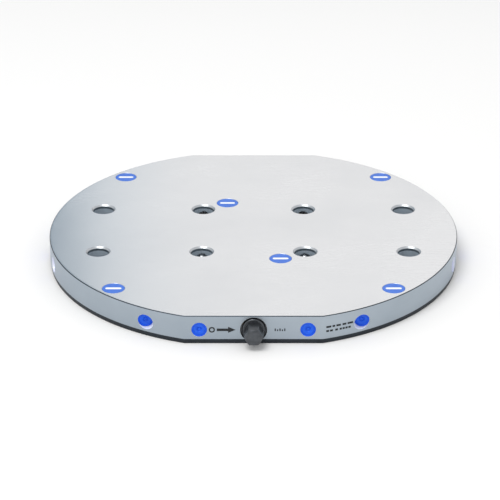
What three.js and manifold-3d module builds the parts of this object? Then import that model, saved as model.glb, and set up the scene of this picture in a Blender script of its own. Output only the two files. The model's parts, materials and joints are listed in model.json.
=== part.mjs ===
// Round zero-point clamping plate for a machine table.
//
// A flat steel disc with two milled flats carries eight stud bores on a square grid. One hex spindle on the
// front flat draws a slide towards it. The slide's wedge spreads two cross rods, and the rods push a clamping
// pin into every stud bore: the inner pins directly, the outer ones through transfer rods with mitred ends.
// Springs bring the pins back when the spindle is undone. The plate is drawn released.
//
// Millimetres. +X to the right, +Y to the back, +Z up. The origin is the centre of the underside.

import * as THREE from 'three';
import { mergeVertices } from 'three/addons/utils/BufferGeometryUtils.js';
import Module from 'manifold-3d';

const wasm = await Module();
wasm.setup();

// ---------------------------------------------------------------- driving dimensions

const PLATE_RADIUS = 192;
const FLAT_DISTANCE = 182;      // centre to the front and back flats
const THICKNESS = 27;
const MID = THICKNESS / 2;      // every bore in the edge lies at this height
const TOP_CHAMFER = 0.5;
const BEVEL_HEIGHT = 4.4;       // steep bevel round the bottom edge
const BEVEL_DEPTH = 0.7;
const GAP = 0.3;                // clearance between neighbouring pieces
const PAST = 1;                 // how far a cutter runs past the face it leaves through

const GRID = 96;                // stud pitch both ways
const INNER_X = GRID / 2;       // inner stud columns
const OUTER_X = GRID * 1.5;     // outer stud columns
const STUD_Y = GRID / 2;        // front and back stud rows
const STUD_RADIUS = 10;
const STUD_CHAMFER = 1.5;
const STUD_FLOOR = 4;
const DRAIN_RADIUS = 4;

const SCREW_RADIUS = 6.75;      // clearance for an M12 screw
const HEAD_RADIUS = 10;         // counterbore for its head
const HEAD_FLOOR = 14;
const SLOT_PITCH = 63;          // machine table slot pitch, which the screws are spaced to
const INNER_SCREW_X = 25;
const CAP_RECESS = 0.2;         // caps and plugs lie a little below the surface

const ROD_BORE = 9;             // cross rods and drive slide run in this
const PIN_BORE = 7;             // pins and transfer rods run in this
const ROD_RADIUS = ROD_BORE - GAP;
const PIN_RADIUS = PIN_BORE - GAP;
const TRANSFER_X = GRID;        // transfer rods stand half way between the stud columns
const CLEAR_OF_ROD = ROD_BORE + 0.4;

const SLIDE_TRAVEL = 10;
const SLIDE_SLOPE = 0.5;        // cross rod travel per slide travel
const ROD_TRAVEL = SLIDE_TRAVEL * SLIDE_SLOPE;
const ROD_SLOPE = 0.6;          // pin travel per cross rod travel
const SLIDE_TONGUE = 2.5;       // half width of the tongue on a cross rod's inner end
const SLIDE_WEDGE = 2.4;        // half width of the slide's wedge at the cross rods' axis, released
const ROD_TONGUE = 3;           // half width of the tongue on a pin's or transfer rod's inner end
const ROD_WEDGE = 3.9;          // half thickness of a cross rod where a released tongue is centred

const PIN_NOSE = 5;
const PIN_SETBACK = 0.5;        // the released pin's tip behind the stud bore's wall
const SPRING_ROOM = 9.3;
const BUSH_LENGTH = 9.1;
const WIRE = 0.55;
const SPRING_TURNS = 3.5;

const MOUTH_RADIUS = 12;        // spindle's counterbore in the front flat
const MOUTH_DEPTH = 12;
const COLLAR_RADIUS = 10.2;
const HEX_FLATS = 15;
const HEX_LENGTH = 16.5;
const HEX_CHAMFER = 2.2;
const HEX_CHAMFER_SLOPE = 0.8;
const SHANK_RADIUS = 6;
const THREAD_RADIUS = 5.85;
const THREAD_END = 52;          // depths below are measured inwards from the front flat
const SLIDE_START = 26;
const SLIDE_HOLE = 66;

const OUTLINE_SEGMENTS = 80;
const BORE_SEGMENTS = 20;
const SMALL_SEGMENTS = 16;

// ---------------------------------------------------------------- solids

/** A closed mesh as a solid that can be joined and cut. */
function solid(geometry) {
  const bare = geometry.clone();
  bare.deleteAttribute('normal');
  bare.deleteAttribute('uv');
  const merged = mergeVertices(bare, 1e-4);
  const mesh = new wasm.Mesh({
    numProp: 3,
    vertProperties: new Float32Array(merged.attributes.position.array),
    triVerts: new Uint32Array(merged.index.array),
  });
  return new wasm.Manifold(mesh);
}

/** A solid's surface as a three.js geometry. */
function surface(body) {
  const mesh = body.getMesh();
  const geometry = new THREE.BufferGeometry();
  geometry.setAttribute('position', new THREE.BufferAttribute(new Float32Array(mesh.vertProperties), 3));
  geometry.setIndex(new THREE.BufferAttribute(new Uint32Array(mesh.triVerts), 1));
  geometry.computeVertexNormals();
  return geometry;
}

/** A body of revolution about Y from [radius, y] points, closed on the axis or on itself. */
function turned(points, segments = SMALL_SEGMENTS) {
  const profile = points.map(([radius, y]) => new THREE.Vector2(radius, y));
  return new THREE.LatheGeometry(profile, segments);
}

/** The same about Z, standing at (x, y), from [radius, z] points listed from the bottom up. */
function upright(points, x, y, segments = BORE_SEGMENTS) {
  return turned(points, segments).rotateX(Math.PI / 2).translate(x, y, 0);
}

/** A round hole or rod along Y from y0 to y1. */
function alongY(radius, x, y0, y1, segments = SMALL_SEGMENTS) {
  return new THREE.CylinderGeometry(radius, radius, y1 - y0, segments).translate(x, (y0 + y1) / 2, 0);
}

/** A round hole or rod along X from x0 to x1. */
function alongX(radius, y, x0, x1, segments = SMALL_SEGMENTS) {
  const rod = new THREE.CylinderGeometry(radius, radius, x1 - x0, segments);
  return rod.rotateZ(Math.PI / 2).translate((x0 + x1) / 2, y, 0);
}

/** An XY outline extruded far enough in Z to cut through any rod. */
function cutter(points) {
  const outline = new THREE.Shape(points.map(([x, y]) => new THREE.Vector2(x, y)));
  const height = 4 * ROD_BORE;
  return new THREE.ExtrudeGeometry(outline, { depth: height, bevelEnabled: false }).translate(0, 0, -height / 2);
}

/** A geometry less the cutters. */
function cut(geometry, cutters) {
  return surface(cutters.reduce((body, tool) => body.subtract(solid(tool)), solid(geometry)));
}

/** How far a face may stand out along a straight bore in the round edge: its rim's nearest point. */
function rimDistance(offset, radius) {
  return Math.sqrt(PLATE_RADIUS ** 2 - (Math.abs(offset) + radius) ** 2) - GAP;
}

// ---------------------------------------------------------------- materials

const finishes = {
  groundSteel: { color: 0xcdd2d6, roughness: 0.35, metalness: 1 },
  blueCap: { color: 0x3f6ee0, roughness: 0.45, metalness: 0 },
  bluePlug: { color: 0x2450e6, roughness: 0.4, metalness: 0 },
  blackSteel: { color: 0x2a2e33, roughness: 0.45, metalness: 0.9 },
  hardSteel: { color: 0x8e959b, roughness: 0.3, metalness: 1 },
  bronze: { color: 0xa9824a, roughness: 0.4, metalness: 1 },
  springSteel: { color: 0x7d858c, roughness: 0.3, metalness: 1 },
  sealRubber: { color: 0x17181a, roughness: 0.8, metalness: 0 },
};

function piece(name, geometry, finish) {
  const mesh = new THREE.Mesh(geometry, new THREE.MeshStandardMaterial(finishes[finish]));
  mesh.name = name;
  return mesh;
}

// ---------------------------------------------------------------- the plate

const CORNER_SCREW = 2 * SLOT_PITCH;
const screwPlaces = [
  { name: 'front_left', x: -CORNER_SCREW, y: -CORNER_SCREW },
  { name: 'front_right', x: CORNER_SCREW, y: -CORNER_SCREW },
  { name: 'rear_left', x: -CORNER_SCREW, y: CORNER_SCREW },
  { name: 'rear_right', x: CORNER_SCREW, y: CORNER_SCREW },
  { name: 'inner_front', x: INNER_SCREW_X, y: -SLOT_PITCH },
  { name: 'inner_rear', x: -INNER_SCREW_X, y: SLOT_PITCH },
];

const SLIDE_BORE_END = 25;
const OUTER_PIN_BORE_START = TRANSFER_X - PIN_BORE - 1;

/** The disc between its flats, with the top chamfer and the bottom bevel all round. */
function blank() {
  const disc = upright([
    [0, 0],
    [PLATE_RADIUS - BEVEL_DEPTH, 0],
    [PLATE_RADIUS, BEVEL_HEIGHT],
    [PLATE_RADIUS, THICKNESS - TOP_CHAMFER],
    [PLATE_RADIUS - TOP_CHAMFER, THICKNESS],
    [0, THICKNESS],
  ], 0, 0, OUTLINE_SEGMENTS);
  const bevelPast = BEVEL_DEPTH * (1 + PAST / BEVEL_HEIGHT);
  const edge = [
    [FLAT_DISTANCE - bevelPast, -PAST],
    [FLAT_DISTANCE, BEVEL_HEIGHT],
    [FLAT_DISTANCE, THICKNESS - TOP_CHAMFER],
    [FLAT_DISTANCE - TOP_CHAMFER - PAST, THICKNESS + PAST],
  ];
  const section = [...edge, ...edge.map(([y, z]) => [-y, z]).reverse()];
  const outline = new THREE.Shape(section.map(([y, z]) => new THREE.Vector2(y, z)));
  const length = 2 * (PLATE_RADIUS + PAST);
  const bar = new THREE.ExtrudeGeometry(outline, { depth: length, bevelEnabled: false });
  // the section's own X and Y become the plate's Y and Z, and it runs along X
  bar.translate(0, 0, -length / 2).applyMatrix4(new THREE.Matrix4().makeBasis(
    new THREE.Vector3(0, 1, 0), new THREE.Vector3(0, 0, 1), new THREE.Vector3(1, 0, 0)));
  return solid(disc).intersect(solid(bar));
}

function studBore(x, y) {
  return upright([
    [0, -PAST],
    [DRAIN_RADIUS, -PAST],
    [DRAIN_RADIUS, STUD_FLOOR],
    [STUD_RADIUS, STUD_FLOOR],
    [STUD_RADIUS, THICKNESS - STUD_CHAMFER],
    [STUD_RADIUS + STUD_CHAMFER + PAST, THICKNESS + PAST],
    [0, THICKNESS + PAST],
  ], x, y);
}

function screwHole(x, y) {
  return upright([
    [0, -PAST],
    [SCREW_RADIUS, -PAST],
    [SCREW_RADIUS, HEAD_FLOOR],
    [HEAD_RADIUS, HEAD_FLOOR],
    [HEAD_RADIUS, THICKNESS + PAST],
    [0, THICKNESS + PAST],
  ], x, y, SMALL_SEGMENTS);
}

/** The bores drilled in from the edge, at mid height. */
function edgeBores() {
  const reach = PLATE_RADIUS + PAST;
  const bores = [
    alongX(ROD_BORE, 0, -reach, reach),
    alongY(ROD_BORE, 0, -reach, SLIDE_BORE_END),
    alongY(MOUTH_RADIUS, 0, -reach, MOUTH_DEPTH - FLAT_DISTANCE, BORE_SEGMENTS),
  ];
  for (const side of [-1, 1]) {
    bores.push(alongY(PIN_BORE, side * INNER_X, -reach, reach));
    bores.push(alongY(PIN_BORE, side * TRANSFER_X, -reach, reach));
    for (const row of [-1, 1]) {
      const ends = [side * OUTER_PIN_BORE_START, side * reach].sort((a, b) => a - b);
      bores.push(alongX(PIN_BORE, row * STUD_Y, ...ends));
    }
  }
  return bores.map((bore) => bore.translate(0, 0, MID));
}

function basePlate() {
  const cutters = edgeBores();
  for (const x of [-OUTER_X, -INNER_X, INNER_X, OUTER_X]) {
    cutters.push(studBore(x, -STUD_Y), studBore(x, STUD_Y));
  }
  for (const { x, y } of screwPlaces) cutters.push(screwHole(x, y));
  const body = cutters.reduce((plate, tool) => plate.subtract(solid(tool)), blank());
  return piece('base_plate', surface(body), 'groundSteel');
}

// ---------------------------------------------------------------- caps and plugs

/** A thin-walled cup about Y, its closed face at y = 0 and its skirt running towards +Y. */
function cup(radius, wall, face, depth, segments) {
  return turned([
    [0, 0],
    [radius, 0],
    [radius, depth],
    [radius - wall, depth],
    [radius - wall, face],
    [0, face],
  ], segments);
}

function screwCaps() {
  const shape = cup(HEAD_RADIUS - GAP, 1.3, 2.6, 6.8, SMALL_SEGMENTS).rotateX(-Math.PI / 2);
  return screwPlaces.map(({ name, x, y }) => {
    const cap = piece(`screw_cap_${name}`, shape, 'blueCap');
    cap.position.set(x, y, THICKNESS - CAP_RECESS);
    return cap;
  });
}

/** A plug whose face looks out of a bore in the edge. angle turns the face from -Y about Z. */
function edgePlug(name, shape, x, y, angle) {
  const plug = piece(name, shape, 'bluePlug');
  plug.position.set(x, y, MID);
  plug.rotation.z = angle;
  return plug;
}

function edgePlugs() {
  const small = cup(PIN_RADIUS, 1.5, 2.2, 7, SMALL_SEGMENTS);
  const large = cup(ROD_RADIUS, 1.6, 2.4, 8, SMALL_SEGMENTS);
  const flatFace = FLAT_DISTANCE - CAP_RECESS;
  const transferFace = rimDistance(TRANSFER_X, PIN_BORE);
  const outerFace = rimDistance(STUD_Y, PIN_BORE);
  const rodFace = rimDistance(0, ROD_BORE);
  const plugs = [];
  for (const [hand, side] of [['left', -1], ['right', 1]]) {
    for (const [row, end, angle] of [['front', -1, 0], ['rear', 1, Math.PI]]) {
      plugs.push(edgePlug(`plug_${row}_${hand}_inner`, small, side * INNER_X, end * flatFace, angle));
      plugs.push(edgePlug(`plug_${row}_${hand}_outer`, small, side * TRANSFER_X, end * transferFace, angle));
      plugs.push(edgePlug(`plug_${hand}_${row}`, small, side * outerFace, end * STUD_Y, side * Math.PI / 2));
    }
    plugs.push(edgePlug(`plug_${hand}_middle`, large, side * rodFace, 0, side * Math.PI / 2));
  }
  return plugs;
}

// ---------------------------------------------------------------- spindle, on the Y axis at mid height

const WASHER_THICKNESS = 0.8;
const COLLAR_REAR = 3.6;
const SHOULDER = COLLAR_REAR + WASHER_THICKNESS + 2 * GAP;
const BUSH_FRONT = 2.4;
const SEAL_PLACE = 8;
const SEAL_GROOVE = 1.2;
const RING_FRONT = MOUTH_DEPTH + 0.1;
const RING_THICKNESS = 1.2;

/** Depth inwards from the front flat as a Y coordinate. */
function deep(depth) {
  return depth - FLAT_DISTANCE;
}

function spindle() {
  const cornerRadius = HEX_FLATS / 2 / Math.cos(Math.PI / 6);
  const hexFront = -HEX_LENGTH;
  // the hex is chamfered by turning, so it is a hexagonal bar held inside a coned cylinder
  const bar = new THREE.CylinderGeometry(cornerRadius, cornerRadius, HEX_LENGTH + GAP, 6);
  bar.rotateY(Math.PI / 6).translate(0, deep(hexFront + (HEX_LENGTH + GAP) / 2), 0);
  const cone = turned([
    [0, deep(hexFront)],
    [cornerRadius - HEX_CHAMFER, deep(hexFront)],
    [cornerRadius + 0.1, deep(hexFront + HEX_CHAMFER_SLOPE * (HEX_CHAMFER + 0.1))],
    [cornerRadius + 0.1, deep(GAP)],
    [0, deep(GAP)],
  ], BORE_SEGMENTS);
  const shaft = turned([
    [0, deep(0)],
    [COLLAR_RADIUS - 0.6, deep(0)],
    [COLLAR_RADIUS, deep(0.6)],
    [COLLAR_RADIUS, deep(COLLAR_REAR)],
    [SHANK_RADIUS, deep(COLLAR_REAR)],
    [SHANK_RADIUS, deep(RING_FRONT)],
    [SHANK_RADIUS - 0.9, deep(RING_FRONT)],
    [SHANK_RADIUS - 0.9, deep(RING_FRONT + RING_THICKNESS + 2 * GAP)],
    [THREAD_RADIUS, deep(RING_FRONT + RING_THICKNESS + 2 * GAP)],
    [THREAD_RADIUS, deep(THREAD_END - 1.5)],
    [THREAD_RADIUS - 1.5, deep(THREAD_END)],
    [0, deep(THREAD_END)],
  ], BORE_SEGMENTS);
  const hex = solid(bar).intersect(solid(cone));
  return piece('spindle', surface(hex.add(solid(shaft))), 'blackSteel');
}

function glandBush() {
  const seal = SHANK_RADIUS + GAP + 1.6;
  const shape = turned([
    [MOUTH_RADIUS - GAP, deep(BUSH_FRONT)],
    [MOUTH_RADIUS - GAP, deep(MOUTH_DEPTH - GAP)],
    [SHANK_RADIUS + GAP, deep(MOUTH_DEPTH - GAP)],
    [SHANK_RADIUS + GAP, deep(SEAL_PLACE + SEAL_GROOVE)],
    [seal, deep(SEAL_PLACE + SEAL_GROOVE)],
    [seal, deep(SEAL_PLACE - SEAL_GROOVE)],
    [SHANK_RADIUS + GAP, deep(SEAL_PLACE - SEAL_GROOVE)],
    [SHANK_RADIUS + GAP, deep(SHOULDER)],
    [COLLAR_RADIUS + GAP, deep(SHOULDER)],
    [COLLAR_RADIUS + GAP, deep(BUSH_FRONT)],
    [MOUTH_RADIUS - GAP, deep(BUSH_FRONT)],
  ], BORE_SEGMENTS);
  return piece('gland_bush', shape, 'blackSteel');
}

/** A square-section ring about Y between two radii and two depths. */
function ring(inner, outer, front, rear, segments = BORE_SEGMENTS) {
  return turned([
    [inner, front],
    [outer, front],
    [outer, rear],
    [inner, rear],
    [inner, front],
  ], segments);
}

function thrustWasher() {
  const front = COLLAR_REAR + GAP;
  const shape = ring(SHANK_RADIUS + 0.4, COLLAR_RADIUS, deep(front), deep(front + WASHER_THICKNESS));
  return piece('thrust_washer', shape, 'bronze');
}

/** An open spring ring in the spindle's groove, behind the gland bush. */
function retainingRing() {
  const inner = SHANK_RADIUS - 0.9 + GAP;
  const outer = 8;
  const halfOpening = 0.45;
  const outline = new THREE.Shape();
  outline.absarc(0, 0, outer, halfOpening, 2 * Math.PI - halfOpening, false);
  outline.absarc(0, 0, inner, 2 * Math.PI - halfOpening, halfOpening, true);
  outline.closePath();
  const shape = new THREE.ExtrudeGeometry(outline, {
    depth: RING_THICKNESS, bevelEnabled: false, curveSegments: BORE_SEGMENTS / 2,
  });
  shape.rotateX(-Math.PI / 2).translate(0, deep(RING_FRONT + GAP), 0);
  return piece('retaining_ring', shape, 'springSteel');
}

function sealRing() {
  const section = 0.6;
  const shape = new THREE.TorusGeometry(SHANK_RADIUS + 0.2 + section, section, 6, SMALL_SEGMENTS);
  shape.rotateX(Math.PI / 2).translate(0, deep(SEAL_PLACE), 0);
  return piece('seal_ring', shape, 'sealRubber');
}

// ---------------------------------------------------------------- drive slide and cross rods

/** Half width of the slide's wedge at y, released. */
function slideWedge(y) {
  return SLIDE_WEDGE + SLIDE_SLOPE * y;
}

/** Half thickness of a cross rod at x from the middle of a tongue, released. */
function rodWedge(x) {
  return ROD_WEDGE - ROD_SLOPE * x;
}

/** A gap of GAP square to a slope, measured along the axis that the slope gives. */
function acrossSlope(slope) {
  return GAP * Math.hypot(1, slope);
}

/** The threaded bar that the spindle draws forward, with a wedge milled into each side at its back end. */
function driveSlide() {
  const neck = 6.5;
  const neckStart = 72;
  const neckEnd = FLAT_DISTANCE - 16;
  const taper = 3;
  const bar = turned([
    [0, deep(SLIDE_HOLE)],
    [THREAD_RADIUS + 0.35, deep(SLIDE_HOLE - 2)],
    [THREAD_RADIUS + 0.35, deep(SLIDE_START)],
    [ROD_RADIUS, deep(SLIDE_START)],
    [ROD_RADIUS, deep(neckStart)],
    [neck, deep(neckStart + taper)],
    [neck, deep(neckEnd - taper)],
    [ROD_RADIUS, deep(neckEnd)],
    [ROD_RADIUS, SLIDE_BORE_END - 3],
    [0, SLIDE_BORE_END - 3],
  ], BORE_SEGMENTS);
  const front = -SLIDE_TONGUE - GAP;
  const back = SLIDE_TONGUE + SLIDE_TRAVEL;
  const slots = [-1, 1].map((side) => cutter([
    [side * slideWedge(front), front],
    [side * (ROD_BORE + PAST), front],
    [side * (ROD_BORE + PAST), back],
    [side * slideWedge(back), back],
  ]));
  return piece('drive_slide', cut(bar, slots), 'hardSteel');
}

/** What to cut from a rod along +X so that its inner end is a tongue that follows a wedge. */
function tongueCutter(halfWidth, wedge, slope) {
  const wide = ROD_BORE + PAST;
  return [
    [-PAST, -wide],
    [CLEAR_OF_ROD, -wide],
    [CLEAR_OF_ROD, -halfWidth],
    [wedge(-halfWidth) + acrossSlope(slope), -halfWidth],
    [wedge(halfWidth) + acrossSlope(slope), halfWidth],
    [CLEAR_OF_ROD, halfWidth],
    [CLEAR_OF_ROD, wide],
    [-PAST, wide],
  ];
}

/** One cross rod, along +X: a tongue at the slide, and a milled wedge pair under each pin column. */
function crossRod() {
  const end = TRANSFER_X + 14;
  const bar = alongX(ROD_RADIUS, 0, 0, end);
  const cutters = [cutter(tongueCutter(SLIDE_TONGUE, slideWedge, SLIDE_SLOPE))];
  for (const column of [INNER_X, TRANSFER_X]) {
    const near = -ROD_TONGUE - ROD_TRAVEL - GAP;
    const far = ROD_TONGUE + GAP;
    for (const side of [-1, 1]) {
      cutters.push(cutter([
        [column + near, side * rodWedge(near)],
        [column + far, side * rodWedge(far)],
        [column + far, side * (ROD_BORE + PAST)],
        [column + near, side * (ROD_BORE + PAST)],
      ]));
    }
  }
  return cut(bar, cutters);
}

// ---------------------------------------------------------------- pins and transfer rods, one quarter

/** The tongue cutter turned to a column, for a rod along +Y. */
function columnTongue(column) {
  const points = tongueCutter(ROD_TONGUE, rodWedge, ROD_SLOPE);
  return cutter(points.map(([along, across]) => [column + across, along]));
}

/** Distances along a pin, measured back from the stud bore's axis. */
const TIP = STUD_RADIUS + PIN_SETBACK;
const BUSH_OUT = STUD_RADIUS + 0.6;
const BUSH_IN = BUSH_OUT + BUSH_LENGTH;
const PIN_STEP = BUSH_IN + SPRING_ROOM;

/** A stepped pin about Y with its stud bore's axis at y = 0 and its body running to -length. */
function pinBlank(length) {
  return turned([
    [0, -length],
    [PIN_RADIUS, -length],
    [PIN_RADIUS, -PIN_STEP],
    [PIN_NOSE, -PIN_STEP],
    [PIN_NOSE, -TIP - 2],
    [PIN_NOSE - 2, -TIP],
    [0, -TIP],
  ]);
}

function innerPin() {
  return cut(pinBlank(STUD_Y).translate(INNER_X, STUD_Y, 0), [columnTongue(INNER_X)]);
}

/** The triangle on one side of the 45 degree plane where a transfer rod meets an outer pin. */
function mitreCutter(side, shift) {
  const reach = 2 * PIN_BORE;
  const x = TRANSFER_X + shift;
  return cutter([
    [x - reach, STUD_Y + reach],
    [x + reach, STUD_Y - reach],
    [x + side * reach, STUD_Y + side * reach],
  ]);
}

function outerPin() {
  const blankPin = pinBlank(OUTER_X - OUTER_PIN_BORE_START).rotateZ(-Math.PI / 2);
  return cut(blankPin.translate(OUTER_X, STUD_Y, 0), [mitreCutter(-1, GAP * Math.SQRT2)]);
}

function transferRod() {
  const bar = alongY(PIN_RADIUS, TRANSFER_X, 0, STUD_Y + PIN_BORE, SMALL_SEGMENTS);
  return cut(bar, [columnTongue(TRANSFER_X), mitreCutter(1, 0)]);
}

/** The bush that guides a pin's nose, about Y with the stud bore's axis at y = 0. */
function guideBush() {
  return ring(PIN_NOSE + GAP, PIN_RADIUS, -BUSH_IN, -BUSH_OUT, SMALL_SEGMENTS);
}

class Helix extends THREE.Curve {
  constructor(radius, turns, start, end) {
    super();
    Object.assign(this, { radius, turns, start, end });
  }

  getPoint(t, target = new THREE.Vector3()) {
    const angle = 2 * Math.PI * this.turns * t;
    const y = THREE.MathUtils.lerp(this.start, this.end, t);
    return target.set(this.radius * Math.cos(angle), y, this.radius * Math.sin(angle));
  }
}

/** The spring round a pin's nose, between its step and its bush, about Y as above. */
function returnSpring() {
  const stepsPerTurn = 10;
  const from = -PIN_STEP + GAP + WIRE;
  const to = -BUSH_IN - GAP - WIRE;
  const section = new THREE.Shape();
  section.absarc(0, 0, WIRE, 0, 2 * Math.PI, false);
  return new THREE.ExtrudeGeometry(section, {
    steps: SPRING_TURNS * stepsPerTurn,
    curveSegments: 2,
    bevelEnabled: false,
    extrudePath: new Helix((PIN_NOSE + PIN_BORE) / 2, SPRING_TURNS, from, to),
  });
}

/** Puts a piece built about Y with its stud bore's axis at y = 0 into the inner or outer column. */
function atColumn(geometry, column) {
  const placed = geometry.clone();
  if (column === 'outer') placed.rotateZ(-Math.PI / 2);
  return placed.translate(column === 'outer' ? OUTER_X : INNER_X, STUD_Y, 0);
}

/** The right rear quarter's pieces. The others are this one turned about X, Y or both. */
function quarter(place) {
  const group = new THREE.Group();
  group.add(piece(`transfer_rod_${place}`, transferRod(), 'hardSteel'));
  for (const [column, pin] of [['inner', innerPin()], ['outer', outerPin()]]) {
    group.add(piece(`clamp_pin_${column}_${place}`, pin, 'hardSteel'));
    group.add(piece(`guide_bush_${column}_${place}`, atColumn(guideBush(), column), 'bronze'));
    group.add(piece(`return_spring_${column}_${place}`, atColumn(returnSpring(), column), 'springSteel'));
  }
  return group;
}

// ---------------------------------------------------------------- assembly

const group = new THREE.Group();
group.add(basePlate(), ...screwCaps(), ...edgePlugs());

const drive = new THREE.Group();
drive.position.z = MID;
drive.add(spindle(), glandBush(), thrustWasher(), retainingRing(), sealRing(), driveSlide());
for (const [hand, turn] of [['right', 0], ['left', Math.PI]]) {
  const half = new THREE.Group();
  half.rotation.y = turn;
  half.add(piece(`cross_rod_${hand}`, crossRod(), 'hardSteel'));
  for (const [row, flip] of [['rear', 0], ['front', Math.PI]]) {
    const pieces = quarter(`${hand}_${row}`);
    pieces.rotation.x = flip;
    half.add(pieces);
  }
  drive.add(half);
}
group.add(drive);

export default group;
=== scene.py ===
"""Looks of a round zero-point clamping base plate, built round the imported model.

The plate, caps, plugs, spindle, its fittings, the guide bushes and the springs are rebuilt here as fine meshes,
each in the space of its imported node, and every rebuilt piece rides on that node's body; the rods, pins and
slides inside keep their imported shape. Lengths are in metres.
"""

import json
import math

import bmesh
import bpy
from mathutils import Matrix, Vector

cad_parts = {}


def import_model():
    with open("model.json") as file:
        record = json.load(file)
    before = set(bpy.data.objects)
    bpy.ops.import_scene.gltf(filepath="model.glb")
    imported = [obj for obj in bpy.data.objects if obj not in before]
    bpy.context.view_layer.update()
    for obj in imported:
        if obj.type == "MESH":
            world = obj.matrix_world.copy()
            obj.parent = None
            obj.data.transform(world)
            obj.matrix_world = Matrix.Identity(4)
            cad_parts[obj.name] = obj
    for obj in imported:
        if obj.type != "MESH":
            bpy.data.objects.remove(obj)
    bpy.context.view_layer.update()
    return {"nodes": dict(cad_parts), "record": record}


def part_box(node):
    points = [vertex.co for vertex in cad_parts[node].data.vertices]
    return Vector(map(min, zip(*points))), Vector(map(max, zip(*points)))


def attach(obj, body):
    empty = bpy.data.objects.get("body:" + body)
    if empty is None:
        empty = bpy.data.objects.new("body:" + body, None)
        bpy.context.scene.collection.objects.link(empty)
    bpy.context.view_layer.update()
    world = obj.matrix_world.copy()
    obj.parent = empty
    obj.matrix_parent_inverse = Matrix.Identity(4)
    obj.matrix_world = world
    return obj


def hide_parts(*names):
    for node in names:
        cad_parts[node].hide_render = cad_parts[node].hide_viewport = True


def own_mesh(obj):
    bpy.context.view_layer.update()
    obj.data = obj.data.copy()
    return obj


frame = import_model()

MM = 0.001
NODES = frame["nodes"]
RECORD = frame["record"]
SLOT_OF = {row["node"]: row["material_slot"] for row in RECORD["subparts"]}
BODY_OF = {node: body for body, nodes in RECORD["behaviour"]["bodies"].items() for node in nodes}
OPENINGS = {row["name"]: row["box_m"] for row in RECORD["physics"]["openings"]}

# ---------------------------------------------------------------- sizes

PLATE_LOW, PLATE_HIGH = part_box("base_plate")
PLATE_RADIUS = PLATE_HIGH.x
FLAT_DISTANCE = PLATE_HIGH.y
THICKNESS = PLATE_HIGH.z
MID = THICKNESS / 2
TOP_CHAMFER = 0.6 * MM
BEVEL_HEIGHT = 4.4 * MM
BEVEL_DEPTH = 0.7 * MM
EDGE_ROUND = 0.15 * MM          # broken edge left on every machined corner
SIDE_INSET = EDGE_ROUND * 0.01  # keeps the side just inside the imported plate

STUD_RADIUS = 10 * MM
STUD_CHAMFER = 1.5 * MM
STUD_FLOOR = 4 * MM
SHADE_BAND_DEPTH = 2.2 * MM           # band of painted shade just under a stud bore's chamfer
DRAIN_RADIUS = 4 * MM
SCREW_RADIUS = 6.75 * MM
HEAD_RADIUS = 10.3 * MM
HEAD_FLOOR = 14 * MM
ROD_BORE = 9 * MM
PIN_BORE = 7 * MM
MOUTH_RADIUS = 12 * MM
MOUTH_DEPTH = 12 * MM
SLIDE_BORE_END = 25 * MM
PAST = 2 * MM                   # how far a cutter runs past the face it leaves through

FINE = 128                      # segments round a large circle
SMALL = 64                      # segments round a bore, cap or plug


def middle(node):
    low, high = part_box(node)
    return (low + high) / 2


STUDS = []
for opening, (low, high) in OPENINGS.items():
    if opening.startswith("stud_bore"):
        STUDS.append(((low[0] + high[0]) / 2, (low[1] + high[1]) / 2))
SCREWS = [(middle(node).x, middle(node).y) for node in NODES if node.startswith("screw_cap")]
INNER_X = min(abs(x) for x, y in STUDS)
STUD_Y = abs(STUDS[0][1])
TRANSFER_X = abs(middle("transfer_rod_right_rear").x)

# ---------------------------------------------------------------- meshes


def mesh_object(name, verts, faces):
    mesh = bpy.data.meshes.new(name)
    mesh.from_pydata(verts, [], faces)
    mesh.validate()
    piece = bpy.data.objects.new(name, mesh)
    bpy.context.scene.collection.objects.link(piece)
    return piece


def tidy_mesh(piece, sharp_degrees=28):
    """Merges doubled points, turns the faces outwards, and shades smooth up to the sharp angle."""
    work = bmesh.new()
    work.from_mesh(piece.data)
    bmesh.ops.remove_doubles(work, verts=work.verts, dist=1e-7)
    bmesh.ops.recalc_face_normals(work, faces=work.faces)
    work.to_mesh(piece.data)
    work.free()
    piece.data.shade_smooth()
    piece.data.set_sharp_from_angle(angle=math.radians(sharp_degrees))
    return piece


def soften(profile, radius, steps=3, closed=False):
    """The same outline with every corner off the axis drawn as a small curve."""
    points = [Vector(p) for p in profile]
    count = len(points)
    out = []
    for i, corner in enumerate(points):
        at_end = not closed and i in (0, count - 1)
        if at_end or corner.x < 1e-9:
            out.append(corner)
            continue
        before, after = points[i - 1], points[(i + 1) % count]
        reach = min(radius, 0.45 * (before - corner).length, 0.45 * (after - corner).length)
        start = corner + (before - corner).normalized() * reach
        end = corner + (after - corner).normalized() * reach
        for step in range(steps + 1):
            t = step / steps
            out.append(start * (1 - t) ** 2 + corner * (2 * t * (1 - t)) + end * t ** 2)
    return [(p.x, p.y) for p in out]


AXES = {
    "z": Matrix.Identity(3),
    "y": Matrix(((1, 0, 0), (0, 0, 1), (0, -1, 0))),
    "x": Matrix(((0, 0, 1), (0, 1, 0), (-1, 0, 0))),
}


def lathe(name, profile, origin=(0, 0, 0), axis="z", segments=SMALL, closed=False):
    """A body of revolution from (radius, height) points. Heights run along the axis from the origin."""
    verts, rings = [], []
    for radius, height in profile:
        if radius < 1e-9:
            rings.append([len(verts)])
            verts.append(Vector((0, 0, height)))
            continue
        rings.append(list(range(len(verts), len(verts) + segments)))
        for i in range(segments):
            angle = 2 * math.pi * i / segments
            verts.append(Vector((radius * math.cos(angle), radius * math.sin(angle), height)))
    faces = []
    pairs = list(zip(rings, rings[1:]))
    if closed:
        pairs.append((rings[-1], rings[0]))
    for low, high in pairs:
        for i in range(segments):
            j = (i + 1) % segments
            loop = [low[i % len(low)], low[j % len(low)], high[j % len(high)], high[i % len(high)]]
            corners = list(dict.fromkeys(loop))
            if len(corners) > 2:
                faces.append(corners)
    turn, place = AXES[axis], Vector(origin)
    return mesh_object(name, [turn @ v + place for v in verts], faces)


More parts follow.
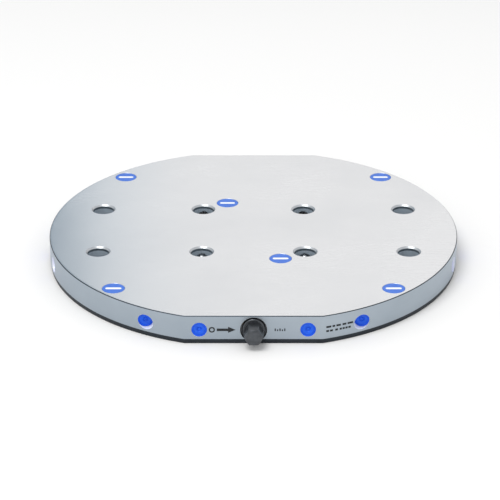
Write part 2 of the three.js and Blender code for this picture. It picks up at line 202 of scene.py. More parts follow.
def prism(name, outline, depth, place):
    """An outline of (u, v) points extruded by depth. place turns (u, v, w) into the frame."""
    count = len(outline)
    verts = [place(u, v, w) for w in (0, depth) for u, v in outline]
    faces = [list(range(count)), list(range(2 * count - 1, count - 1, -1))]
    faces += [[i, (i + 1) % count, count + (i + 1) % count, count + i] for i in range(count)]
    return mesh_object(name, verts, faces)


def combine(piece, others, operation="DIFFERENCE"):
    """Cuts or joins other objects into a piece and removes them."""
    for other in others:
        tidy_mesh(other)
        change = piece.modifiers.new("combine", "BOOLEAN")
        change.operation = operation
        change.solver = "MANIFOLD"
        change.object = other
    bpy.context.view_layer.update()
    evaluated = piece.evaluated_get(bpy.context.evaluated_depsgraph_get())
    result = bpy.data.meshes.new_from_object(evaluated)
    piece.modifiers.clear()
    piece.data = result
    for other in others:
        bpy.data.objects.remove(other)
    return piece


# ---------------------------------------------------------------- materials


class Shader:
    """A small wrapper for building one material's nodes."""

    def __init__(self, name, **settings):
        self.material = bpy.data.materials.new(name)
        self.material.use_nodes = True
        self.tree = self.material.node_tree
        self.base = self.tree.nodes["Principled BSDF"]
        for socket, value in settings.items():
            self.base.inputs[socket.replace("_", " ")].default_value = value
        self.place = self.node("ShaderNodeTexCoord").outputs["Object"]

    def node(self, kind, **values):
        made = self.tree.nodes.new(kind)
        for key, value in values.items():
            if hasattr(made, key):
                setattr(made, key, value)
            else:
                made.inputs[key.replace("_", " ")].default_value = value
        return made

    def link(self, source, target):
        self.tree.links.new(source, target)

    def stretched(self, scale):
        """Object coordinates scaled by a vector."""
        mapping = self.node("ShaderNodeMapping")
        mapping.inputs["Scale"].default_value = scale
        self.link(self.place, mapping.inputs["Vector"])
        return mapping.outputs["Vector"]

    def noise(self, scale, detail=3.0, vector=None, roughness=0.55):
        made = self.node("ShaderNodeTexNoise")
        made.inputs["Scale"].default_value = scale
        made.inputs["Detail"].default_value = detail
        made.inputs["Roughness"].default_value = roughness
        self.link(vector or self.place, made.inputs["Vector"])
        return made.outputs["Fac"]

    def ramp(self, fac, stops):
        """Maps a value through (position, colour or grey) stops."""
        made = self.node("ShaderNodeValToRGB")
        elements = made.color_ramp.elements
        while len(elements) < len(stops):
            elements.new(0.5)
        for element, (position, tone) in zip(elements, stops):
            element.position = position
            element.color = (*tone, 1) if isinstance(tone, tuple) else (tone, tone, tone, 1)
        self.link(fac, made.inputs["Fac"])
        return made.outputs["Color"]

    def mix(self, fac, first, second, blend="MIX"):
        made = self.node("ShaderNodeMix", data_type="RGBA", blend_type=blend)
        sockets = {"fac": made.inputs[0], "a": made.inputs[6], "b": made.inputs[7]}
        for key, value in (("fac", fac), ("a", first), ("b", second)):
            if isinstance(value, bpy.types.NodeSocket):
                self.link(value, sockets[key])
            elif key == "fac":
                sockets[key].default_value = value
            else:
                sockets[key].default_value = (*value, 1)
        return made.outputs[2]

    def maths(self, operation, first, second):
        made = self.node("ShaderNodeMath", operation=operation)
        for socket, value in zip(made.inputs, (first, second)):
            if isinstance(value, bpy.types.NodeSocket):
                self.link(value, socket)
            else:
                socket.default_value = value
        return made.outputs[0]

    def edge_wear(self, radius, low=0.02, high=0.25):
        """0 on open faces and 1 along edges, from how far the rounded normal leans from the true one."""
        bevel = self.node("ShaderNodeBevel")
        bevel.samples = 4
        bevel.inputs["Radius"].default_value = radius
        geometry = self.node("ShaderNodeNewGeometry")
        dot = self.node("ShaderNodeVectorMath", operation="DOT_PRODUCT")
        self.link(bevel.outputs["Normal"], dot.inputs[0])
        self.link(geometry.outputs["Normal"], dot.inputs[1])
        lean = self.maths("SUBTRACT", 1.0, dot.outputs["Value"])
        return self.ramp(lean, [(low, 0.0), (high, 1.0)])

    def bump(self, height, distance, strength=1.0):
        made = self.node("ShaderNodeBump")
        made.inputs["Distance"].default_value = distance
        made.inputs["Strength"].default_value = strength
        self.link(height, made.inputs["Height"])
        self.link(made.outputs["Normal"], self.base.inputs["Normal"])

    def colour(self, output):
        self.link(output, self.base.inputs["Base Color"])

    def roughness(self, output):
        self.link(output, self.base.inputs["Roughness"])


def ground_steel():
    """The clamping face and underside: fine straight grinding marks along X on plated steel."""
    s = Shader("ground_steel_face", Metallic=1.0)
    marks = s.noise(1.0, 4, s.stretched((35, 2600, 2600)), 0.6)
    cloud = s.noise(9, 3)
    tone = s.ramp(cloud, [(0.3, (0.72, 0.735, 0.75)), (0.7, (0.79, 0.80, 0.81))])
    s.colour(s.mix(0.10, tone, s.ramp(marks, [(0.3, 0.45), (0.7, 1.0)]), "MULTIPLY"))
    s.roughness(s.ramp(s.mix(0.35, cloud, marks), [(0.3, 0.22), (0.7, 0.29)]))
    s.bump(marks, 0.0000035, 0.5)
    return s.material


def turned_side_painted_shade():
    """The rim: fine lines round the edge left by turning, in a darker, bluer tone that is painted shade for the
    dimmer surroundings the side reflects.
    """
    s = Shader("turned_rim_painted_shade", Metallic=1.0)
    marks = s.noise(1.0, 3, s.stretched((12, 12, 5200)), 0.6)
    cloud = s.noise(14, 3)
    tone = s.ramp(cloud, [(0.3, (0.355, 0.408, 0.461)), (0.7, (0.408, 0.461, 0.514))])
    wear = s.edge_wear(0.0004)
    s.colour(s.mix(wear, tone, (0.70, 0.72, 0.74)))
    s.roughness(s.ramp(marks, [(0.3, 0.34), (0.7, 0.46)]))
    s.bump(marks, 0.000004, 0.5)
    return s.material


def painted_shade_bevel():
    """The steep bottom bevel, painted near black as painted shade for the dark it faces below the side."""
    s = Shader("bevel_painted_shade", Metallic=0.6)
    cloud = s.noise(60, 4)
    tone = s.ramp(cloud, [(0.3, (0.016, 0.021, 0.028)), (0.7, (0.030, 0.038, 0.048))])
    s.colour(tone)
    s.roughness(s.ramp(cloud, [(0.3, 0.45), (0.7, 0.6)]))
    s.bump(s.noise(900, 3), 0.00001, 0.4)
    return s.material


def bored_steel(name, light, dark, metallic, smooth=0.30):
    """Walls of bores, with rings left by the boring tool."""
    s = Shader(name, Metallic=metallic, IOR=1.35)
    marks = s.noise(1.0, 2, s.stretched((40, 40, 4000)), 0.5)
    s.colour(s.ramp(marks, [(0.3, dark), (0.7, light)]))
    s.roughness(s.ramp(marks, [(0.3, smooth), (0.7, smooth + 0.12)]))
    s.bump(marks, 0.000006, 0.5)
    return s.material


def chamfer_painted_shade():
    """The narrow chamfer round the top edge, painted dark as painted shade."""
    s = Shader("chamfer_painted_shade", Metallic=0.9)
    cloud = s.noise(90, 3)
    s.colour(s.ramp(cloud, [(0.3, (0.030, 0.040, 0.052)), (0.7, (0.045, 0.058, 0.072))]))
    s.roughness(s.ramp(cloud, [(0.3, 0.35), (0.7, 0.5)]))
    s.bump(s.noise(1800, 3), 0.000004, 0.4)
    return s.material


def moulded_blue(name, light, dark, wave):
    """Blue moulded plastic with a faint grain and paler rubbed edges."""
    s = Shader(name, Specular_IOR_Level=0.35)
    grain = s.noise(2200, 3)
    cloud = s.noise(wave, 3)
    tone = s.ramp(cloud, [(0.3, dark), (0.7, light)])
    wear = s.edge_wear(0.0005)
    worn = tuple(min(1.0, 0.75 * part + 0.12) for part in light)
    s.colour(s.mix(s.maths("MULTIPLY", wear, 0.45), tone, worn))
    s.roughness(s.ramp(grain, [(0.3, 0.36), (0.7, 0.5)]))
    s.bump(grain, 0.00002, 0.35)
    return s.material


def black_oxide():
    """Blackened steel, rubbed brighter along its edges by the wrench."""
    s = Shader("black_oxide_steel", Metallic=0.85)
    cloud = s.noise(240, 4)
    scratches = s.noise(1.0, 4, s.stretched((5000, 180, 5000)), 0.7)
    tone = s.ramp(cloud, [(0.3, (0.062, 0.067, 0.074)), (0.7, (0.100, 0.107, 0.117))])
    wear = s.edge_wear(0.0006)
    broken = s.maths("MULTIPLY", wear, s.ramp(scratches, [(0.35, 0.25), (0.65, 1.0)]))
    s.colour(s.mix(s.maths("MULTIPLY", broken, 0.7), tone, (0.34, 0.36, 0.39)))
    s.roughness(s.ramp(scratches, [(0.3, 0.26), (0.7, 0.42)]))
    s.bump(cloud, 0.00002, 0.4)
    return s.material


def metal(name, light, dark, smooth, rough, stretch):
    """A machined metal with tool marks stretched along one way and brighter edges."""
    s = Shader(name, Metallic=1.0)
    marks = s.noise(1.0, 3, s.stretched(stretch), 0.6)
    cloud = s.noise(120, 3)
    tone = s.ramp(cloud, [(0.3, dark), (0.7, light)])
    wear = s.edge_wear(0.0004)
    bright = tuple(min(1.0, 1.35 * part) for part in light)
    s.colour(s.mix(s.maths("MULTIPLY", wear, 0.6), tone, bright))
    s.roughness(s.ramp(marks, [(0.3, smooth), (0.7, rough)]))
    s.bump(marks, 0.000006, 0.5)
    return s.material


def seal_rubber():
    s = Shader("seal_rubber", Roughness=0.75)
    grain = s.noise(3000, 3)
    s.colour(s.ramp(grain, [(0.3, 0.012), (0.7, 0.025)]))
    s.roughness(s.ramp(grain, [(0.3, 0.6), (0.7, 0.85)]))
    s.bump(grain, 0.00002, 0.4)
    return s.material


def printed(name, colour):
    """Print or laser marking, slightly mottled."""
    s = Shader(name)
    grain = s.noise(2600, 3)
    low = tuple(0.85 * part for part in colour)
    s.colour(s.ramp(grain, [(0.3, low), (0.7, colour)]))
    s.roughness(s.ramp(grain, [(0.3, 0.65), (0.7, 0.85)]))
    return s.material


FACE = ground_steel()
# the rim's darker, bluer tone is painted shade
RIM_PAINTED_SHADE = turned_side_painted_shade()
# the bevel's near-black tone is painted shade
PAINTED_SHADE_DARK = painted_shade_bevel()
# the top chamfer's dark tone is painted shade
CHAMFER_PAINTED_SHADE = chamfer_painted_shade()
WALL = bored_steel("stud_bore_wall", (0.50, 0.57, 0.63), (0.40, 0.46, 0.52), 0.35)
# painted shade: a dark band at the top of each stud bore wall
WALL_TOP_PAINTED_SHADE = bored_steel("stud_bore_painted_shade_band", (0.16, 0.19, 0.22), (0.11, 0.14, 0.165), 0.6)
BRIGHT = bored_steel("bright_cut_steel", (0.52, 0.54, 0.56), (0.45, 0.47, 0.49), 0.95, 0.30)
# painted highlight: bore walls painted near white where light falls into them
EDGE_WALL_PAINTED_LIGHT = bored_steel("edge_bore_painted_highlight", (0.95, 0.955, 0.96), (0.87, 0.88, 0.89), 0.1)
CAP_BLUE = moulded_blue("blue_cap_plastic", (0.038, 0.152, 0.60), (0.032, 0.130, 0.54), 160)
PLUG_BLUE = moulded_blue("blue_plug_plastic", (0.006, 0.115, 0.80), (0.004, 0.085, 0.66), 220)
BLACK = black_oxide()
HARD = metal("hardened_steel", (0.50, 0.52, 0.54), (0.40, 0.42, 0.44), 0.22, 0.36, (120, 4200, 4200))
BRONZE = metal("bearing_bronze", (0.62, 0.42, 0.20), (0.50, 0.33, 0.15), 0.28, 0.42, (4200, 200, 200))
SPRING = metal("spring_steel", (0.40, 0.42, 0.45), (0.30, 0.32, 0.34), 0.25, 0.40, (600, 600, 600))
RUBBER = seal_rubber()
WHITE_PRINT = printed("white_print", (0.86, 0.88, 0.90))
LASER_BLACK = printed("laser_black", (0.012, 0.014, 0.017))

MATERIAL_OF_SLOT = {
    "ground_steel": FACE,
    "blue_cap": CAP_BLUE,
    "blue_plug": PLUG_BLUE,
    "black_steel": BLACK,
    "hard_steel": HARD,
    "bronze": BRONZE,
    "spring_steel": SPRING,
    "seal_rubber": RUBBER,
}


def stand_for(piece, node, material=None):
    """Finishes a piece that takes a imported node's place: its body, its slot and its material."""
    tidy_mesh(piece)
    piece.data.materials.clear()
    piece.data.materials.append(material or MATERIAL_OF_SLOT[SLOT_OF[node]])
    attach(piece, BODY_OF[node])
    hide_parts(node)
    return piece


# ---------------------------------------------------------------- the plate


def plate_outline(inset, arc_steps=FINE):
    """The disc between its flats, drawn in by inset, as (x, y) points with the same count for any inset."""
    radius, flat = PLATE_RADIUS - inset, FLAT_DISTANCE - inset
    corner = math.acos(flat / radius)
    points = []
    for start in (-math.pi / 2 + corner, math.pi / 2 + corner):
        span = math.pi - 2 * corner
        for i in range(arc_steps + 1):
            angle = start + span * i / arc_steps
            points.append((radius * math.cos(angle), radius * math.sin(angle)))
    return points


def plate_blank():
    edge = soften([
        (BEVEL_DEPTH + PAST, 0),
        (BEVEL_DEPTH, 0),
        (SIDE_INSET, BEVEL_HEIGHT),
        (SIDE_INSET, THICKNESS - TOP_CHAMFER),
        (TOP_CHAMFER, THICKNESS),
        (TOP_CHAMFER + PAST, THICKNESS),
    ], EDGE_ROUND)
    loops = [plate_outline(inset) for inset, height in edge]
    count = len(loops[0])
    verts = [(x, y, height) for loop, (inset, height) in zip(loops, edge) for x, y in loop]
    faces = [list(reversed(range(count)))]
    for k in range(len(loops) - 1):
        for i in range(count):
            j = (i + 1) % count
            faces.append([k * count + i, k * count + j, (k + 1) * count + j, (k + 1) * count + i])
    faces.append(list(range((len(loops) - 1) * count, len(loops) * count)))
    return mesh_object("base_plate_fine", verts, faces)


def stud_cutter(x, y):
    flare = STUD_CHAMFER + PAST
    return lathe("cutter", soften([
        (0, -PAST),
        (DRAIN_RADIUS, -PAST),
        (DRAIN_RADIUS, STUD_FLOOR),
        (STUD_RADIUS, STUD_FLOOR),
        (STUD_RADIUS, THICKNESS - STUD_CHAMFER - SHADE_BAND_DEPTH),
        (STUD_RADIUS, THICKNESS - STUD_CHAMFER),
        (STUD_RADIUS + flare, THICKNESS + PAST),
        (0, THICKNESS + PAST),
    ], EDGE_ROUND), (x, y, 0))


def screw_cutter(x, y):
    return lathe("cutter", [
        (0, -PAST),
        (SCREW_RADIUS + PAST, -PAST),
        (SCREW_RADIUS, 0.4 * MM),
        (SCREW_RADIUS, HEAD_FLOOR),
        (HEAD_RADIUS, HEAD_FLOOR),
        (HEAD_RADIUS, THICKNESS - 0.25 * MM),
        (HEAD_RADIUS + 0.25 * MM + PAST, THICKNESS + PAST),
        (0, THICKNESS + PAST),
    ], (x, y, 0))


def bore_cutter(radius, x, y, start, end, axis):
    """A round cutter along an axis at mid height, from start to end on that axis."""
    return lathe("cutter", [(0, start), (radius, start), (radius, end), (0, end)], (x, y, MID), axis)


def edge_cutters():
    reach = PLATE_RADIUS + PAST
    cutters = [
        bore_cutter(ROD_BORE, 0, 0, -reach, reach, "x"),
        bore_cutter(ROD_BORE, 0, 0, -reach, SLIDE_BORE_END, "y"),
        bore_cutter(MOUTH_RADIUS, 0, 0, -reach, MOUTH_DEPTH - FLAT_DISTANCE, "y"),
    ]
    pin_bore_start = TRANSFER_X - PIN_BORE - MM
    for side in (-1, 1):
        cutters.append(bore_cutter(PIN_BORE, side * INNER_X, 0, -reach, reach, "y"))
        cutters.append(bore_cutter(PIN_BORE, side * TRANSFER_X, 0, -reach, reach, "y"))
        for row in (-1, 1):
            ends = sorted((side * pin_bore_start, side * reach))
            cutters.append(bore_cutter(PIN_BORE, 0, row * STUD_Y, *ends, "x"))
    return cutters


def plate_finish(face):
    """The finish of one face of the plate, from its place and direction. The top chamfer, the bevel, the rim, the
    spindle mouth and a band in each stud bore carry painted shade, and the other bore walls away from top and
    bottom carry a painted highlight.
    """
    centre, normal = face.center, face.normal
    near = 0.05 * MM
    if abs(normal.z) > 0.99 and min(abs(centre.z), abs(centre.z - THICKNESS)) < near:
        return FACE
    depth = min(PLATE_RADIUS - math.hypot(centre.x, centre.y), FLAT_DISTANCE - abs(centre.y))
    lean = BEVEL_DEPTH * max(0, 1 - centre.z / BEVEL_HEIGHT)
    outward = normal.x * centre.x + normal.y * centre.y > 0
    # the top chamfer is painted dark as painted shade
    if outward and centre.z > THICKNESS - TOP_CHAMFER - near and depth < TOP_CHAMFER + near:
        return CHAMFER_PAINTED_SHADE
    # the bevel is painted near black as painted shade, and the rim above it has its own darker, bluer painted
    # shade
    if outward and abs(depth - lean) < 4 * near:
        return PAINTED_SHADE_DARK if centre.z < BEVEL_HEIGHT else RIM_PAINTED_SHADE
    if min(math.hypot(centre.x - x, centre.y - y) for x, y in STUDS) < STUD_RADIUS + STUD_CHAMFER + near:
        if centre.z > THICKNESS - STUD_CHAMFER - near:
            return BRIGHT
        # a band of painted shade just under the chamfer, then the plain wall
        return WALL_TOP_PAINTED_SHADE if centre.z > THICKNESS - STUD_CHAMFER - SHADE_BAND_DEPTH else WALL
    # the spindle mouth's wall takes the bevel's near-black painted shade
    if abs(centre.x) < MOUTH_RADIUS + MM and centre.y < -STUD_Y:
        return PAINTED_SHADE_DARK
    # other bore walls away from top and bottom are painted near white as a painted highlight
    return BRIGHT if min(centre.z, THICKNESS - centre.z) < 5 * MM else EDGE_WALL_PAINTED_LIGHT


def paint_plate(plate):
    """Gives each face the finish that its place and direction call for."""
    finishes = [FACE, RIM_PAINTED_SHADE, PAINTED_SHADE_DARK, CHAMFER_PAINTED_SHADE, WALL, WALL_TOP_PAINTED_SHADE, BRIGHT, EDGE_WALL_PAINTED_LIGHT]
    plate.data.materials.clear()
    for material in finishes:
        plate.data.materials.append(material)
    for face in plate.data.polygons:
        face.material_index = finishes.index(plate_finish(face))


def base_plate():
    plate = plate_blank()
    tidy_mesh(plate)
    cutters = edge_cutters()
    cutters += [stud_cutter(x, y) for x, y in STUDS]
    cutters += [screw_cutter(x, y) for x, y in SCREWS]
    combine(plate, cutters)
    stand_for(plate, "base_plate")
    paint_plate(plate)
    return plate


# ---------------------------------------------------------------- caps and plugs


def screw_cap(node):
    """A disc cap with a rounded rim, a faint dish and a skirt, and a plain white pry mark printed on it."""
    low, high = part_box(node)
    radius = HEAD_RADIUS - 0.03 * MM
    brim = THICKNESS - 0.04 * MM
    x, y = middle(node).x, middle(node).y
    wall = 1.3 * MM
    face = 2.6 * MM
    profile = soften([
        (0, brim - 0.05 * MM),
        (radius * 0.8, brim - 0.03 * MM),
        (radius, brim),
        (radius, low.z),
        (radius - wall, low.z),
        (radius - wall, high.z - face),
        (0, high.z - face),
    ], 0.35 * MM, 4)
    cap = stand_for(lathe(node + "_fine", profile, (x, y, 0)), node)
    half_length, half_width = 7.3 * MM, 1.8 * MM
    outline = []
    for side in (1, -1):
        for i in range(9):
            angle = side * math.pi / 2 - math.pi * i / 8
            centre = side * (half_length - half_width)
            outline.append((x + centre + half_width * math.cos(angle), y + half_width * math.sin(angle)))
    top = brim - 0.045 * MM
    mark = prism(node + "_mark", outline, 0.03 * MM, lambda u, v, w: (u, v, top + w))
    tidy_mesh(mark)
    mark.data.materials.append(WHITE_PRINT)
    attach(mark, BODY_OF[node])
    return cap


def edge_plug(node):
    """A plug whose face has a raised rim and a central dimple, in a bore drilled in from the edge."""
    low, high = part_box(node)
    size = high - low
    centre = middle(node)
    along = "x" if size.x < size.y else "y"
    radius = size.z / 2 + 0.15 * MM
    length = getattr(size, along)
    outward = 1 if getattr(centre, along) > 0 else -1
    face = getattr(high if outward > 0 else low, along)

    def depth(value):
        return face - outward * value * MM

    dimple = 2.6 * MM
    rim = radius - 1.2 * MM
    profile = soften([
        (0, depth(1.1)),
        (dimple * 0.45, depth(1.2)),
        (dimple * 0.65, depth(1.9)),
        (dimple, depth(0.7)),
        (rim - 0.7 * MM, depth(0.5)),
        (rim, depth(0.9)),
        (rim + 0.3 * MM, depth(0.05)),
        (radius, depth(0.05)),
        (radius, face - outward * length),
        (radius - 1.5 * MM, face - outward * length),
        (radius - 1.5 * MM, depth(3)),
        (0, depth(3)),
    ], 0.25 * MM, 3)
    origin = (0, centre.y, MID) if along == "x" else (centre.x, 0, MID)
    return stand_for(lathe(node + "_fine", profile, origin, along), node)


# ---------------------------------------------------------------- spindle


def deep(depth):
    """A depth inwards from the front flat, in millimetres, as a Y coordinate."""
    return depth * MM - FLAT_DISTANCE


def spindle():
    low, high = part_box("spindle")
    flats = 15 * MM
    corner = flats / 2 / math.cos(math.pi / 6)
    front = low.y
    hexagon = [(corner * math.sin(math.pi * (i / 3 + 1 / 6)), corner * math.cos(math.pi * (i / 3 + 1 / 6)))
               for i in range(6)]
    bar = prism("spindle_fine", hexagon, deep(1) - front, lambda u, v, w: (u, front + w, MID + v))
    chamfer, slope = 2.2 * MM, 0.8
    cone = lathe("cone", soften([
        (0, front),
        (corner - chamfer, front),
        (corner + 0.1 * MM, front + slope * (chamfer + 0.1 * MM)),
        (corner + 0.1 * MM, deep(2)),
        (0, deep(2)),
    ], 0.2 * MM), (0, 0, MID), "y", FINE)
    tidy_mesh(bar)
    combine(bar, [cone], "INTERSECT")
    collar = (high.x - low.x) / 2
    thread, root, pitch = 5.85 * MM, 5.0 * MM, 2 * MM
    profile = [
        (0, deep(0)),
        (collar - 0.7 * MM, deep(0)),
        (collar, deep(0.7)),
        (collar, deep(3.6)),
        (6 * MM, deep(3.6)),
        (6 * MM, deep(12.1)),
        (5.1 * MM, deep(12.1)),
        (5.1 * MM, deep(13.9)),
        (thread, deep(13.9)),
    ]
    y = deep(24)
    while y < high.y - 2 * pitch:
        profile += [(thread, y), (root, y + 0.45 * pitch), (root, y + 0.55 * pitch)]
        y += pitch
    profile += [(thread, y), (thread, high.y - 1.5 * MM), (thread - 1.5 * MM, high.y), (0, high.y)]
    shaft = lathe("shaft", soften(profile, 0.2 * MM, 2), (0, 0, MID), "y")
    combine(bar, [shaft], "UNION")
    return stand_for(bar, "spindle")


def ring_piece(node, profile, round_by=0.2 * MM, segments=SMALL):
    """A closed ring about the spindle's axis."""
    shape = soften(profile, round_by, 3, closed=True)
    return stand_for(lathe(node + "_fine", shape, (0, 0, MID), "y", segments, closed=True), node)


def spindle_fittings():
    low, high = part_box("gland_bush")
    outer = (high.x - low.x) / 2 + 0.1 * MM
    ring_piece("gland_bush", [
        (outer, low.y),
        (outer, high.y),
        (6.3 * MM, high.y),
        (6.3 * MM, deep(9.2)),
        (7.9 * MM, deep(9.2)),
        (7.9 * MM, deep(6.8)),
        (6.3 * MM, deep(6.8)),
        (6.3 * MM, deep(5)),
        (10.5 * MM, deep(5)),
        (10.5 * MM, low.y),
    ])
    low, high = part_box("thrust_washer")
    radius = (high.x - low.x) / 2
    hole = 6.4 * MM
    ring_piece("thrust_washer", [(hole, low.y), (radius, low.y), (radius, high.y), (hole, high.y)], 0.12 * MM)
    low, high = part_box("seal_ring")
    section = (high.y - low.y) / 2
    centre = (high.x - low.x) / 2 - section
    circle = [(centre + section * math.cos(a), middle("seal_ring").y + section * math.sin(a))
              for a in (2 * math.pi * i / 16 for i in range(16))]
    shape = lathe("seal_ring_fine", circle, (0, 0, MID), "y", SMALL, closed=True)
    stand_for(shape, "seal_ring")


def retaining_ring():
    """An open ring: a band that ends either side of a small gap."""
    low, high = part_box("retaining_ring")
    outer, inner, opening = (high.z - low.z) / 2, 5.4 * MM, 0.45
    steps = 60
    angles = [opening + (2 * math.pi - 2 * opening) * i / steps for i in range(steps + 1)]
    outline = [(outer * math.cos(a), outer * math.sin(a)) for a in angles]
    outline += [(inner * math.cos(a), inner * math.sin(a)) for a in reversed(angles)]
    shape = prism("retaining_ring_fine", outline, high.y - low.y, lambda u, v, w: (u, low.y + w, MID - v))
    return stand_for(shape, "retaining_ring")


# ---------------------------------------------------------------- the mechanism inside


def carry_over(node):
    """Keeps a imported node's own shape and gives it its finish."""
    piece = NODES[node]
    piece.data.materials.clear()
    piece.data.materials.append(MATERIAL_OF_SLOT[SLOT_OF[node]])


def guide_bush(node):
    low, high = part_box(node)
    size, centre = high - low, middle(node)
    along = "x" if size.x < size.y else "y"
    start, end = getattr(low, along), getattr(high, along)
    outer, inner = size.z / 2, 5.3 * MM
    shape = soften([(inner, start), (outer, start), (outer, end), (inner, end)], 0.4 * MM, 3, closed=True)
    origin = (0, centre.y, MID) if along == "x" else (centre.x, 0, MID)
    return stand_for(lathe(node + "_fine", shape, origin, along, SMALL, closed=True), node)


def return_spring(node):
    """A round wire wound round the pin's nose, its end turns closed up flat."""
    low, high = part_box(node)
    size, centre = high - low, middle(node)
    along = "x" if size.x < size.y else "y"
    wire, radius, turns = 0.5 * MM, 6.0 * MM, 4.5
    start, end = getattr(low, along) + wire, getattr(high, along) - wire
    steps, sides = int(turns * 36), 12
    verts, faces = [], []
    for i in range(steps + 1):
        t = i / steps
        angle = 2 * math.pi * turns * t
        eased = t + 0.55 * math.sin(2 * math.pi * t) / (-2 * math.pi)
        middle_point = Vector((radius * math.cos(angle), radius * math.sin(angle), start + (end - start) * eased))
        radial = Vector((math.cos(angle), math.sin(angle), 0))
        for k in range(sides):
            turn = 2 * math.pi * k / sides
            verts.append(middle_point + radial * (wire * math.cos(turn)) + Vector((0, 0, wire * math.sin(turn))))
    for i in range(steps):
        for k in range(sides):
            j = (k + 1) % sides
            faces.append([i * sides + k, i * sides + j, (i + 1) * sides + j, (i + 1) * sides + k])
    faces.append(list(range(sides)))
    faces.append([steps * sides + k for k in reversed(range(sides))])
    place = Vector((0, centre.y, MID) if along == "x" else (centre.x, 0, MID))
    piece = mesh_object(node + "_fine", [AXES[along] @ v + place for v in verts], faces)
    stand_for(piece, node)
    outward = 1 if getattr(centre, along) > 0 else -1
    length = getattr(size, along)
    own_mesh(piece)
    return piece


# ---------------------------------------------------------------- marks on the rim


def rim_point(x, z, proud):
    """A point on the front of the rim above x, standing proud of it, on the flat or on the round part."""
    corner = math.sqrt(PLATE_RADIUS ** 2 - FLAT_DISTANCE ** 2)
    if abs(x) <= corner:
        return (x, -FLAT_DISTANCE - proud, z)
    reach = PLATE_RADIUS + proud
    angle = math.asin(min(1, x / PLATE_RADIUS))
    return (reach * math.sin(angle), -reach * math.cos(angle), z)


def rim_mark(name, strips):
    """A laser mark on the front of the rim, from strips of (x, lowest z, highest z) in mm from mid height."""
    verts, faces = [], []
    for strip in strips:
        first = len(verts)
        for x, low, high in strip:
            for proud in (-0.02 * MM, 0.03 * MM):
                for z in (low, high):
                    verts.append(rim_point(x * MM, MID + z * MM, proud))
        for i in range(len(strip) - 1):
            k = first + 4 * i
            for a, b in ((0, 1), (1, 3), (3, 2), (2, 0)):
                faces.append([k + a, k + b, k + b + 4, k + a + 4])
        last = first + 4 * (len(strip) - 1)
        faces += [[first, first + 2, first + 3, first + 1], [last, last + 1, last + 3, last + 2]]
    mark = tidy_mesh(mesh_object(name, verts, faces))
    mark.data.materials.append(LASER_BLACK)
    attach(mark, "plate")
    return mark


def dash(x0, x1, z0, z1):
    """One strip of even height, divided so that it follows the round part of the rim."""
    steps = max(1, round(x1 - x0))
    return [(x0 + (x1 - x0) * i / steps, z0, z1) for i in range(steps + 1)]


def half_ring(x, radius, hole, side):
    """The upper or lower half of a ring, as one strip."""
    strip = []
    for i in range(17):
        across = -radius + 2 * radius * i / 16
        outer = math.sqrt(max(0, radius ** 2 - across ** 2))
        inner = math.sqrt(max(0, hole ** 2 - across ** 2))
        low, high = sorted((side * inner, side * max(outer, inner + 0.02)))
        strip.append((x + across, low, high))
    return strip


def rim_marks():
    """Plain symbols in place of lettering: a drive ring and arrow, torque ticks and two rows of dashes."""
    rim_mark("drive_ring", [half_ring(-36.8, 2.8, 1.5, 1), half_ring(-36.8, 2.8, 1.5, -1)])
    rim_mark("drive_arrow", [[(-32.5, -1.25, 1.25), (-22.5, -1.25, 1.25)], [(-22.5, -3, 3), (-16, -0.05, 0.05)]])
    rim_mark("torque_ticks", [dash(18.5 + 2.1 * i, 19.6 + 2.1 * i, -1.3, 1.3 - 0.9 * (i % 2)) for i in range(5)])
    upper = [(64, 68.5), (69.5, 72), (73, 77), (78.5, 82), (83, 88)]
    lower = [(64, 66.5), (67.3, 70), (72, 74.5), (76, 78), (78.6, 80.6), (81.2, 83.2), (83.8, 86)]
    rim_mark("upper_dashes", [dash(a, b, 1.1, 3) for a, b in upper])
    rim_mark("lower_dashes", [dash(a, b, -2.9, -1) for a, b in lower])


# ---------------------------------------------------------------- build

base_plate()
spindle()
spindle_fittings()
retaining_ring()
for node in NODES:
    if node.startswith("screw_cap"):
        screw_cap(node)
    elif node.startswith("plug"):
        edge_plug(node)
    elif node.startswith("guide_bush"):
        guide_bush(node)
    elif node.startswith("return_spring"):
        return_spring(node)
    elif node.startswith(("cross_rod", "transfer_rod", "clamp_pin", "drive_slide")):
        carry_over(node)
rim_marks()

# ---------------------------------------------------------------- camera, floor and light

scene = bpy.context.scene
scene.view_settings.view_transform = "Standard"
scene.view_settings.look = "None"

CAMERA_PLACE = Vector((-0.0032, -2.1420, 1.0063))
CAMERA_PITCH = math.radians(25.03)
camera_data = bpy.data.cameras.new("camera")
camera_data.sensor_width = 36
camera_data.lens = 179.5
camera_data.clip_start = 0.1
camera_data.clip_end = 100
camera = bpy.data.objects.new("camera", camera_data)
camera.location = CAMERA_PLACE
camera.rotation_euler = (math.pi / 2 - CAMERA_PITCH, 0, 0)
scene.collection.objects.link(camera)
scene.camera = camera


def floor():
    size = 30
    verts = [(-size, -size, -0.0002), (size, -size, -0.0002), (size, size, -0.0002), (-size, size, -0.0002)]
    plane = mesh_object("floor", verts, [[0, 1, 2, 3]])
    s = Shader("pale_floor", Roughness=0.9, Base_Color=(0.83, 0.82, 0.807, 1))
    plane.data.materials.append(s.material)
    return plane


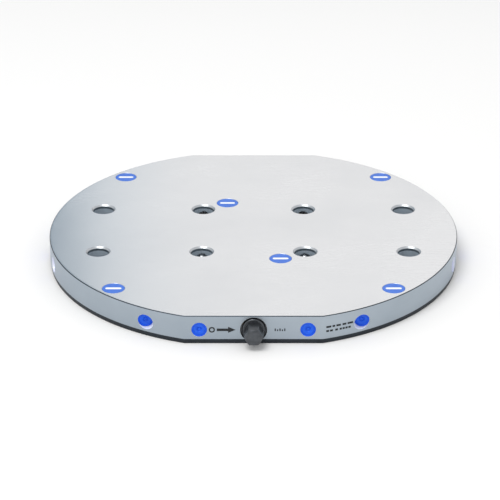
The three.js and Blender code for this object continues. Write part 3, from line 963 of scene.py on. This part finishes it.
def area_light(name, place, target, width, height, power, colour=(1, 1, 1)):
    data = bpy.data.lights.new(name, "AREA")
    data.shape = "RECTANGLE"
    data.size, data.size_y = width, height
    data.energy = power
    data.color = colour
    lamp = bpy.data.objects.new(name, data)
    lamp.location = place
    direction = Vector(target) - Vector(place)
    lamp.rotation_euler = direction.to_track_quat("-Z", "Y").to_euler()
    scene.collection.objects.link(lamp)
    return lamp


def world():
    made = bpy.data.worlds.new("studio")
    made.use_nodes = True
    background = made.node_tree.nodes["Background"]
    background.inputs["Color"].default_value = (0.97, 0.985, 1.0, 1)
    background.inputs["Strength"].default_value = 0.93
    scene.world = made


def card(name, left, right, bottom, top, y, stops, start, end):
    """A card behind the plate, seen only in reflections, its tone running from left to right through the stops."""
    corners = [(left, y, bottom), (right, y, bottom), (right, y, top), (left, y, top)]
    plane = mesh_object(name, corners, [[0, 1, 2, 3]])
    s = Shader(name + "_glow")
    across = s.node("ShaderNodeSeparateXYZ")
    s.link(s.place, across.inputs[0])
    spread = s.node("ShaderNodeMapRange")
    spread.inputs["From Min"].default_value = start
    spread.inputs["From Max"].default_value = end
    s.link(across.outputs["X"], spread.inputs["Value"])
    glow = s.node("ShaderNodeEmission")
    s.link(s.ramp(spread.outputs["Result"], stops), glow.inputs["Color"])
    s.link(glow.outputs[0], s.tree.nodes["Material Output"].inputs["Surface"])
    plane.data.materials.append(s.material)
    plane.visible_camera = plane.visible_diffuse = plane.visible_shadow = False
    return plane


floor()
world()
card("softbox", -1.4, 1.4, 0.13, 1.4, 0.75, [
    (0.18, (0.62, 0.68, 0.73)),
    (0.25, (0.13, 0.21, 0.30)),
    (0.31, (0.46, 0.54, 0.61)),
    (0.40, (0.88, 0.92, 0.96)),
    (0.56, (1.04, 1.03, 1.03)),
    (0.85, (1.03, 1.02, 1.02)),
], -0.45, 0.20)
card("flag", -1.4, 1.4, 0.0, 0.13, 0.75, [(0.0, (0.10, 0.12, 0.14)), (1.0, (0.10, 0.12, 0.14))], -1, 1)
area_light("key", (-0.55, -0.85, 2.15), (0, 0, 0), 1.2, 1.2, 24)
